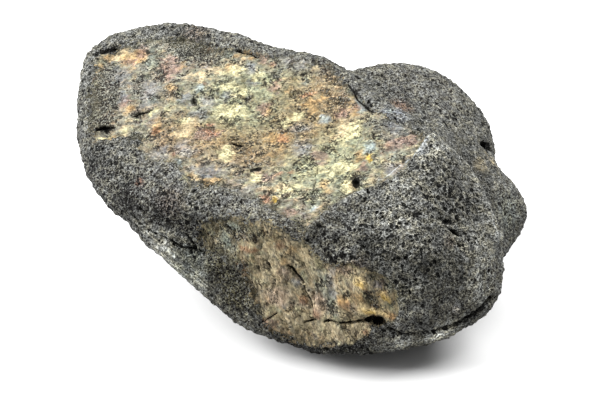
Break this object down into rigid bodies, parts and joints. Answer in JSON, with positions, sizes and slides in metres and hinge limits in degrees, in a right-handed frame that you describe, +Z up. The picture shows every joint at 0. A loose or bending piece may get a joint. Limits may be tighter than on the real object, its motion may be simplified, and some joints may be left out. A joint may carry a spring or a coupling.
{
  "type": "chondrite meteorite",
  "caption": "Hand-sized chondrite meteorite with a dark pitted fusion crust, broken open on top and front; rests on a small flat spot.",
  "frame": {"origin": "the middle of the underside of the stone's box, on the surface that it rests on", "axes": "+X along the stone's length, from the slab's overhanging end towards the boss and the shoulder; +Y from the front break towards the back; +Z up"},
  "size_m": [0.0914, 0.063, 0.0454],
  "materials": {
    "stone": "dark matt fusion crust, with rust-stained grey, ochre and pale yellow stone where it has broken away"
  },
  "bodies": {
    "root": {"stone": "stone"}
  },
  "joints": []
}
